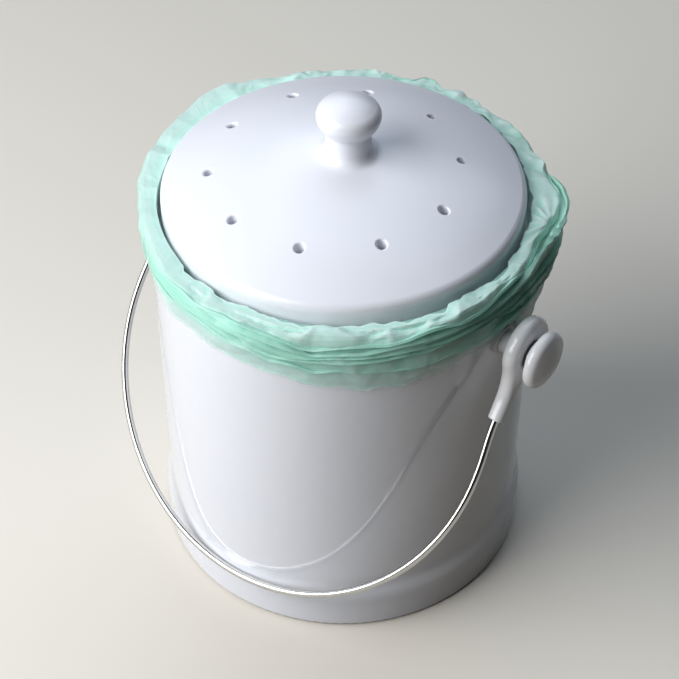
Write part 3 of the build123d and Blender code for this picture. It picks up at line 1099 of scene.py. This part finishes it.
    def inner_rows(self) -> list[Row]:
        """Control points inside the crock, over its rim and down to the top of its wall."""
        return [
            Row(30.0, self.film_on_bottom, 2, 0.3, 0.0),
            Row(60.0, self.film_on_bottom, 2, 0.3, 0.0),
            Row(70.8, self.film_on_bottom + 3.0, 2, 0.3, 0.1),
            Row(self.drum_radius - 0.2, self.film_on_bottom + 10.5, 5, 0.3, 0.3),
            Row(self.drum_radius - 0.6, 100.0, 5, 0.3, 0.4),
            Row(self.drum_radius, 171.0, 2, 0.3, 0.2),
            Row(self.neck_radius - 0.2, 184.5, 1, 0.3, 0.0),
            Row(self.neck_radius, self.ledge_height - 0.7, 1, 0.3, 0.0),
            Row(self.neck_radius + 0.8, self.ledge_height, 2, 0.3, 0.0),
            Row(self.gallery_radius - 0.8, self.ledge_height, 1, 0.3, 0.0),
            Row(self.gallery_radius, self.ledge_height + 0.8, 3, 0.3, 0.1),
            Row(self.gallery_radius + 0.1, self.rim_top - 1.6, 2, 0.4, 0.1),
            Row(self.rim_radius - 1.2, self.rim_top + 0.1, 2, 0.5, 0.1),
            Row(self.rim_radius + 1.0, self.rim_top + 0.1, 2, 0.5, 0.1),
            Row(self.wall_radius + 0.1, self.rim_top - 1.8, 4, 0.5, 0.1),
        ]

    def outer_rows(self, azimuth: float) -> list[Row]:
        """Control points from the top of the wall to the free edge.

        Args:
            azimuth: place round the bin, in degrees.

        Returns:
            The points, in the order of the film.
        """
        hem = self.edge_height(azimuth)
        skirt = self.skirt_radius.at(azimuth)
        stand = clamp((skirt - self.wall_radius) / 2.4, 0.3, 1.6)
        stand *= 1.0 - 0.6 * self.bulging.at(azimuth)
        dense = 0.05 + 0.75 * self.layered.at(azimuth)
        rows = [
            Row(self.wall_radius + 0.25 * stand, 187.0, 3, 0.3, 0.2),
            Row(self.wall_radius + 0.2 + 0.5 * stand, max(hem + 5.0, 170.0), 3, 0.2, 0.3),
            Row(self.wall_radius + 0.3 + stand, hem, 1, dense, 0.3),
            Row(self.wall_radius + 0.8 + stand, hem + 0.2, 3, dense, 0.3),
        ]
        last = self.lip_heights(azimuth, hem)[-1]
        return rows + self.pleats(azimuth, hem, skirt) + self.roll(azimuth, last)

    def lip_heights(self, azimuth: float, hem: float) -> list[float]:
        """Heights of the pleats' lips.

        Args:
            azimuth: place round the bin, in degrees.
            hem: height of the hem there.

        Returns:
            The heights, from the lowest lip to the highest.
        """
        heights = [lip.heights.at(azimuth) + lip.sway.at(azimuth) for lip in self.lips]
        full = self.bulging.at(azimuth)
        heights[-1] += (self.ridge_height.at(azimuth) - heights[-1]) * full
        top = heights[-1]
        room = max(top - hem - 3.5, 2.0)
        if top - heights[0] > room:
            heights = [top - (top - height) * room / (top - heights[0]) for height in heights]
        return heights

    def pleats(self, azimuth: float, hem: float, skirt: float) -> list[Row]:
        """Control points of the pleats that hang between the hem and the roll.

        Args:
            azimuth: place round the bin, in degrees.
            hem: height of the hem there.
            skirt: radius of the loose skirt over the hem.

        Returns:
            The points, in the order of the film.
        """
        heights = self.lip_heights(azimuth, hem)
        full = self.bulging.at(azimuth)
        target = self.roll_radius.at(azimuth) - 1.7
        target += (self.ridge_radius.at(azimuth) + 0.3 - target) * full
        fullness = 1.4 - 0.7 * full
        smooth = (1.0 - 0.8 * self.flattened.at(azimuth)) * (1.0 - 0.92 * full)

        def reach(height: float) -> float:
            share = clamp((height - hem) / max(heights[-1] - hem, 1.0), 0.0, 1.0)
            return skirt + (target - skirt) * share**fullness

        belly = (hem + heights[0]) / 2.0
        layered = self.layered.at(azimuth)
        rows = [Row(reach(belly), belly, 3, 0.1 + 0.75 * layered, 0.4)]
        for number, (height, lip) in enumerate(zip(heights, self.lips)):
            middle = reach(height)
            strength = clamp(0.75 + lip.swell.at(azimuth), 0.15, 1.0) * smooth
            if number == len(heights) - 1:
                strength = max(strength, 0.75 * full)
            drop = lip.hang * strength
            out = (0.5 + 0.6 * strength) * max(smooth, 0.4)
            seen = max(0.25 + 0.17 * number, 0.8 * layered)
            rows += [
                Row(middle - out, height + 0.3 * drop, 2, seen, 0.5),
                Row(middle - 0.5 * out, height + drop + 0.3, 1, seen, 0.4),
                Row(middle + 0.3 * out, height + drop * 0.9, 2, seen, 0.3),
                Row(middle + out, height, 1, seen + 0.1, 0.2),
                Row(middle + out + 0.15, height + 0.35, 2, seen + 0.1, 0.3),
            ]
        return rows

    def roll(self, azimuth: float, last: float) -> list[Row]:
        """Control points of the pocket under the roll, the roll and the free edge.

        Args:
            azimuth: place round the bin, in degrees.
            last: height of the highest lip there.

        Returns:
            The points, in the order of the film.
        """
        valley = self.dipped.at(azimuth)
        radius = self.roll_radius.at(azimuth) + self.roll_sway.at(azimuth)
        top = self.roll_top.at(azimuth) + self.top_sway.at(azimuth)
        bottom = self.roll_bottom.at(azimuth) + self.bottom_sway.at(azimuth)
        bottom = clamp(bottom, last + 1.0 - 2.6 * valley, top - 2.0)
        depth = self.pocket_depth.at(azimuth)
        edge = self.free_edge.at(azimuth) + self.edge_sway.at(azimuth)
        edge = max(edge + self.edge_ripple.at(azimuth), self.limits.free_edge)
        wide = min(self.roll_width.at(azimuth), (radius - edge) * 0.5)
        tall = top - bottom - 0.5
        # looseness here also paints the colour: the pocket stays deep green as painted shade and the
        # roll's top is painted pale as painted highlight
        rows = [
            Row(radius - depth - 1.2, (last + bottom) / 2.0 - 3.0 * valley, 2, 0.6, 0.1),
            Row(radius - depth - 0.6, bottom + 0.2, 2, 0.6, 0.1),
            Row(radius - 0.9, bottom + 0.6, 1, 0.7, 0.2),
            Row(radius - 0.2, bottom, 1, 0.8, 0.3),
        ]
        for step in range(4):
            angle = math.radians(22.5 * step)
            across, up = wide * (1.0 - math.cos(angle)), tall * math.sin(angle)
            rows.append(Row(radius - across, bottom + 0.5 + up, 3, 0.7, 0.5 + 0.15 * step))
        return rows + [
            Row(radius - wide, top, 5, 0.8, 1.0),
            Row((radius - wide + edge) / 2.0, top, 5, 0.9, 0.9),
            Row(edge + 0.8, top - 0.5, 1, 1.0, 0.45),
            Row(edge, top - 0.9, 0, 1.0, 0.3),
        ]

    def section(self, azimuth: float) -> list[MeshRow]:
        """Rows of mesh of the film's section at one azimuth.

        Args:
            azimuth: place round the bin, in degrees.

        Returns:
            The rows, from the bottom of the bag to its free edge.
        """
        points = self.inner_rows() + self.outer_rows(azimuth)
        rows = []
        length = 0.0
        for start, end in zip(points, points[1:]):
            step = math.hypot(end.radius - start.radius, end.height - start.height)
            for number in range(start.steps):
                share = number / start.steps
                rows.append(
                    MeshRow(
                        start.radius + (end.radius - start.radius) * share,
                        start.height + (end.height - start.height) * share,
                        start.layers + (end.layers - start.layers) * share,
                        start.loose + (end.loose - start.loose) * share,
                        length + step * share,
                    )
                )
            length += step
        last = points[-1]
        rows.append(MeshRow(last.radius, last.height, last.layers, last.loose, length))
        return rows

    def stand_out(self, azimuth: float, row: MeshRow, outside: bool) -> float:
        """How far creases and folds lift the film at one place.

        Args:
            azimuth: place round the bin, in degrees.
            row: the section's row there.
            outside: whether the place is on the loose cuff.

        Returns:
            The lift in millimetres.
        """
        turn = math.radians(azimuth)

        def lift(layers: tuple[Crumple, ...]) -> float:
            return sum(layer.at(turn, row.length, self.ring) for layer in layers)

        taut = 1.0 - 0.75 * self.taut.at(azimuth)
        pinched = 1.0 - 0.4 * self.pinched.at(azimuth)
        total = row.loose * taut * pinched * lift(self.creases)
        if outside:
            if row.height > self.fan.bottom:
                total += self.fan.at(azimuth, row.radius, self.ring)
            gathered = self.gathered.at(azimuth)
            if gathered > 0.0:
                total += gathered * max(row.loose - 0.3, 0.0) * 1.5 * lift(self.gathers)
            total += 0.7 * lift(self.drapes)
        return total

    def outward(self, rows: list[tuple[float, ...]], number: int) -> tuple[float, float]:
        """Direction that faces away from the film at one row, in the section's plane."""
        before = rows[max(number - 1, 0)]
        after = rows[min(number + 1, len(rows) - 1)]
        along = (after[0] - before[0], after[1] - before[1])
        length = math.hypot(*along) or 1.0
        return along[1] / length, -along[0] / length

    def kept_clear(
        self, inside: bool, rolled: bool, azimuth: float, radius: float, height: float
    ) -> tuple[float, float]:
        """Keep a point of the film off the crock, the screws, the lid and the bail.

        Args:
            inside: whether the point is inside the crock or on its rim.
            rolled: whether it is on the roll, which lies over the rim.
            azimuth: place round the bin, in degrees.
            radius: its distance from the axis.
            height: its height.

        Returns:
            The radius and height that it may have.
        """
        limits = self.limits
        if inside:
            if height < limits.drum_top:
                return min(radius, limits.drum), max(height, self.film_on_bottom - 0.3)
            if radius < limits.ledge_middle:
                return min(radius, limits.neck), height
            if radius < limits.rim_start:
                return clamp(radius, limits.ledge_middle, limits.gallery), height
            return min(radius, limits.rim), max(height, self.rim_top - 0.6)
        if height < self.rim_top - 1.0 and radius < limits.wall:
            radius = limits.wall + 0.4 * (limits.wall - radius)
        low = self.rim_top + 0.9 - 4.0 * max(radius - self.wall_radius - 0.3, 0.0)
        if rolled and height < low:
            height += 1.15 * (low - height)
        turn = math.radians(azimuth)
        reach = math.hypot(radius * math.sin(turn), height - self.pivot_height)
        limit = limits.lug if reach < limits.bail_reach else limits.wire
        if reach < limits.bail_reach + 10.0 and abs(radius * math.cos(turn)) > limit:
            radius = limit / abs(math.cos(turn))
        return max(radius, limits.lid), height

    def crumpled(self, azimuth: float, rows: list[MeshRow]) -> list[tuple[float, float]]:
        """Crumple one section of the film.

        Args:
            azimuth: place round the bin, in degrees.
            rows: the section's rows.

        Returns:
            Radius and height of each row.
        """
        folded = sum(row.steps for row in self.inner_rows())
        places = []
        for number, row in enumerate(rows):
            outside = number > folded + self.wall_rows
            fold = self.stand_out(azimuth, row, outside) if row.loose > 0.0 else 0.0
            rolled = number > len(rows) - self.roll_rows
            if rolled and fold < 0.0:
                fold *= self.roll_sink
            out, up = self.outward(rows, number)
            radius, height = row.radius + fold * out, row.height + fold * up
            inside = number < folded - self.rim_rows
            places.append(self.kept_clear(inside, rolled, azimuth, radius, height))
        return places

    def crest(self, places: list[list[tuple[float, float]]], column: int, number: int) -> float:
        """How far one place stands out from the film round it, in millimetres."""
        section = places[column]
        here = section[number]
        before, after = section[max(number - 2, 0)], section[min(number + 2, len(section) - 1)]
        left = places[column - 2][number]
        right = places[(column + 2) % self.columns][number]
        out, up = self.outward([before, here, after], 1)
        total = 0.0
        for first, second in ((before, after), (left, right)):
            sideways = here[0] - (first[0] + second[0]) / 2.0
            upwards = here[1] - (first[1] + second[1]) / 2.0
            total += sideways * out + upwards * up
        return total

    def build(self) -> bpy.types.Object:
        """Build the film.

        Returns:
            The film, one open sheet with a UV map in metres.
        """
        noise.seed_set(self.seed)
        azimuths = [360.0 * column / self.columns for column in range(self.columns)]
        sections = [self.section(azimuth) for azimuth in azimuths]
        count = len(sections[0])
        places = [self.crumpled(azimuth, rows) for azimuth, rows in zip(azimuths, sections)]
        vertices = [(0.0, 0.0, self.film_on_bottom * MM)]
        layers, creases, flat = [0.3], [0.0], [(0.0, 0.0)]
        for column, rows in enumerate(sections):
            turn = math.tau * column / self.columns
            for number, (radius, height) in enumerate(places[column]):
                vertices.append((radius * math.cos(turn) * MM, radius * math.sin(turn) * MM, height * MM))
                row = rows[number]
                layers.append(row.layers)
                # painted light: places are painted paler on crests and the crumpled roll as painted
                # highlight and stay deep green in pockets as painted shade; the last rows get a painted
                # highlight along the free edge
                sharp = self.crest(places, column, number)
                pale = painted_light_and_thinness(row.layers, row.loose, sharp)
                creases.append(self.edge_painted_highlight if number > count - 3 else pale)
                flat.append((turn * self.ring * MM, row.length * MM))
        faces = []
        for column in range(self.columns):
            here = 1 + column * count
            there = 1 + (column + 1) % self.columns * count
            faces.append((0, here, there))
            for row in range(count - 1):
                faces.append((here + row, here + row + 1, there + row + 1, there + row))
        mesh = bpy.data.meshes.new("liner_film")
        mesh.from_pydata(vertices, [], faces)
        # the second attribute carries the painted light and the thin film's paleness
        for label, values in (("layers", layers), ("thin_and_painted_light", creases)):
            mesh.attributes.new(label, "FLOAT", "POINT").data.foreach_set("value", values)
        chart = mesh.uv_layers.new(name="film")
        last = len(faces) - count
        for face in mesh.polygons:
            for loop in face.loop_indices:
                u, v = flat[mesh.loops[loop].vertex_index]
                if face.index >= last and u < 0.1:
                    u += math.tau * self.ring * MM
                chart.data[loop].uv = (u, v)
        mesh.shade_smooth()
        mesh.set_sharp_from_angle(angle=math.radians(32.0))
        film = bpy.data.objects.new("liner_film", mesh)
        bpy.context.scene.collection.objects.link(film)
        return film

    def dress(self, effects: Effects) -> None:
        """Build the film, give it its finish and set it on the crock.

        Args:
            effects: the shared node groups.
        """
        film = self.build()
        film.data.materials.append(BAG_FILM.build(effects))
        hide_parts("liner_bag")
        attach(film, Body.CROCK.value)
        log.info("built %s with %d faces", film.name, len(film.data.polygons))


@dataclass
class Filter:
    """Charcoal foam disc under the lid, with soft edges and an open surface. Metres."""

    edge: float = 0.0012
    rings: int = 9
    sides: int = 144
    pore_size: float = 0.004
    pore_depth: float = 0.0003

    def build(self) -> bpy.types.Object:
        """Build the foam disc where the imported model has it.

        Returns:
            The disc.
        """
        low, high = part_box("charcoal_filter")
        radius = (high[0] - low[0]) / 2.0
        bpy.ops.object.select_all(action="DESELECT")
        bpy.ops.mesh.primitive_cylinder_add(
            vertices=self.sides,
            radius=radius,
            depth=high[2] - low[2],
            end_fill_type="NGON",
            location=(0.0, 0.0, (low[2] + high[2]) / 2.0),
        )
        disc = bpy.context.object
        disc.name = disc.data.name = "charcoal_foam"
        bpy.ops.object.transform_apply(location=True, rotation=True, scale=True)
        bpy.ops.object.mode_set(mode="EDIT")
        bpy.ops.mesh.select_mode(type="FACE")
        bpy.ops.mesh.select_all(action="DESELECT")
        bpy.ops.object.mode_set(mode="OBJECT")
        for face in disc.data.polygons:
            face.select = abs(face.normal.z) > 0.9
        bpy.ops.object.mode_set(mode="EDIT")
        for _ in range(self.rings):
            bpy.ops.mesh.inset(thickness=radius / (self.rings + 1.0), depth=0.0)
        bpy.ops.mesh.select_all(action="DESELECT")
        bpy.ops.object.mode_set(mode="OBJECT")
        for edge in disc.data.edges:
            ends = [disc.data.vertices[index].co for index in edge.vertices]
            level = abs(ends[0].z - ends[1].z) < 1e-5
            edge.select = level and min(end.to_2d().length for end in ends) > radius - 1e-5
        bpy.ops.object.mode_set(mode="EDIT")
        bpy.ops.mesh.select_mode(type="EDGE")
        bpy.ops.mesh.bevel(offset=self.edge, segments=3)
        bpy.ops.object.mode_set(mode="OBJECT")
        rough = bpy.data.textures.new("foam_surface", "CLOUDS")
        rough.noise_scale = self.pore_size
        modifier = disc.modifiers.new("open surface", "DISPLACE")
        modifier.texture = rough
        modifier.strength = self.pore_depth
        modifier.mid_level = 1.0
        bpy.ops.object.modifier_apply(modifier=modifier.name)
        bpy.ops.object.shade_smooth_by_angle(angle=math.radians(40.0))
        return disc

    def dress(self, effects: Effects) -> None:
        """Build the foam, give it its finish and set it under the lid.

        Args:
            effects: the shared node groups.
        """
        disc = self.build()
        disc.data.materials.append(CARBON_FOAM.build(effects))
        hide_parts("charcoal_filter")
        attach(disc, Body.LID.value)
        log.info("built %s with %d faces", disc.name, len(disc.data.polygons))


@dataclass
class Hardware:
    """Ceramic, wire and pivot pieces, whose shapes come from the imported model."""

    materials: dict[str, Finish] = field(
        default_factory=lambda: {
            "crock": GLAZE,
            "lid": LID_GLAZE,
            "lid_gasket": SILICONE,
            "filter_holder": HOLDER_PLASTIC,
            "bail_wire": WIRE_STEEL,
        }
    )
    pivot_materials: dict[str, Finish] = field(
        default_factory=lambda: {
            "bail_lug": WHITE_PLASTIC,
            "pivot_button": WHITE_PLASTIC,
            "pivot_bush": BUSH_PLASTIC,
            "pivot_screw": SCREW_STEEL,
            "steel_washer": SCREW_STEEL,
            "seal_washer": SILICONE,
            "outer_washer": DARK_PLASTIC,
            "thread_insert": BRASS,
        }
    )

    def dress(self, effects: Effects) -> None:
        """Give every piece its finish.

        Args:
            effects: the shared node groups.
        """
        wanted = dict(self.materials)
        for side in Side:
            for piece, finish in self.pivot_materials.items():
                wanted[f"{side.value}_{piece}"] = finish
        built: dict[str, bpy.types.Material] = {}
        for node, finish in wanted.items():
            if finish.name not in built:
                built[finish.name] = finish.build(effects)
            dress(node, built[finish.name])


@dataclass(frozen=True)
class Lamp:
    """Soft square lamp that faces the bin. Metres, degrees and watts.

    The azimuth is anticlockwise from +X and the aim is the height that the lamp faces.
    """

    name: str
    azimuth: float
    elevation: float
    distance: float
    size: float
    power: float
    colour: Colour
    aim: float = 0.12

    def hang(self) -> None:
        """Hang the lamp."""
        turn, rise = math.radians(self.azimuth), math.radians(self.elevation)
        level = math.cos(rise)
        direction = Vector((math.cos(turn) * level, math.sin(turn) * level, math.sin(rise)))
        light = bpy.data.lights.new(self.name, "AREA")
        light.shape = "SQUARE"
        light.size = self.size
        light.energy = self.power
        light.color = self.colour
        lamp = bpy.data.objects.new(self.name, light)
        lamp.location = direction * self.distance + Vector((0.0, 0.0, self.aim))
        lamp.rotation_mode = "QUATERNION"
        lamp.rotation_quaternion = direction.to_track_quat("Z", "Y")
        bpy.context.scene.collection.objects.link(lamp)


@dataclass
class Studio:
    """Pale floor, soft lamps and the camera of the photograph. Metres and degrees."""

    floor_half: float = 3.0
    floor_colour: Colour = (0.8, 0.75, 0.67)
    floor_bounce: Colour = (0.13, 0.105, 0.08)
    floor_roughness: float = 0.6
    camera_place: Triple = (0.38897, -0.50089, 0.72502)
    camera_azimuth: float = 38.0
    camera_elevation: float = 44.25
    focal_pixels: float = 1831.18
    picture_pixels: float = 679.0
    sensor: float = 36.0
    key: Lamp = Lamp("key", 241.0, 33.0, 1.3, 1.2, 25.5, (0.96, 0.98, 1.0))
    fill: Lamp = Lamp("fill", 115.0, 56.0, 1.6, 1.5, 10.5, (0.78, 0.88, 1.0))
    sky: float = 0.028
    sky_colour: Colour = (0.93, 0.96, 1.0)

    def floor(self) -> None:
        """Lay the floor that the bin stands on."""
        bpy.ops.object.select_all(action="DESELECT")
        bpy.ops.mesh.primitive_plane_add(size=2.0 * self.floor_half, location=(0.0, 0.0, 0.0))
        floor = bpy.context.object
        floor.name = "floor"
        material = bpy.data.materials.new("pale_floor")
        material.use_nodes = True
        bench = NodeBench(material.node_tree)
        shader = material.node_tree.nodes["Principled BSDF"]
        path = bench.add("ShaderNodeLightPath")
        seen = bench.math("MAXIMUM", path.outputs["Is Camera Ray"], path.outputs["Is Glossy Ray"])
        seen = bench.math("MAXIMUM", seen, path.outputs["Is Transmission Ray"])
        colour = bench.mix(seen, (*self.floor_bounce, 1.0), (*self.floor_colour, 1.0))
        bench.fill(shader, {"Base Color": colour, "Roughness": self.floor_roughness})
        floor.data.materials.append(material)

    def world(self) -> None:
        """Fill the room with plain light."""
        world = bpy.data.worlds.new("soft_room")
        world.use_nodes = True
        background = world.node_tree.nodes["Background"]
        background.inputs["Color"].default_value = (*self.sky_colour, 1.0)
        background.inputs["Strength"].default_value = self.sky
        bpy.context.scene.world = world

    def camera(self) -> None:
        """Set the camera where the photograph was taken."""
        lens = bpy.data.cameras.new("camera")
        lens.sensor_width = self.sensor
        lens.lens = self.focal_pixels / self.picture_pixels * self.sensor
        camera = bpy.data.objects.new("camera", lens)
        camera.location = self.camera_place
        camera.rotation_mode = "XYZ"
        camera.rotation_euler = (
            math.radians(90.0 - self.camera_elevation),
            0.0,
            math.radians(self.camera_azimuth),
        )
        bpy.context.scene.collection.objects.link(camera)
        bpy.context.scene.camera = camera

    def build(self) -> None:
        """Set up the floor, the lamps, the room and the camera."""
        self.floor()
        self.key.hang()
        self.fill.hang()
        self.world()
        self.camera()
        bpy.context.scene.view_settings.view_transform = "Standard"
        log.info("set up the studio")


def main() -> None:
    """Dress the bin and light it."""
    logging.basicConfig(level=logging.INFO, format="%(name)s: %(message)s")
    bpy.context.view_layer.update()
    effects = Effects()
    Hardware().dress(effects)
    Filter().dress(effects)
    LinerBag().dress(effects)
    Studio().build()


if __name__ == "__main__":
    main()
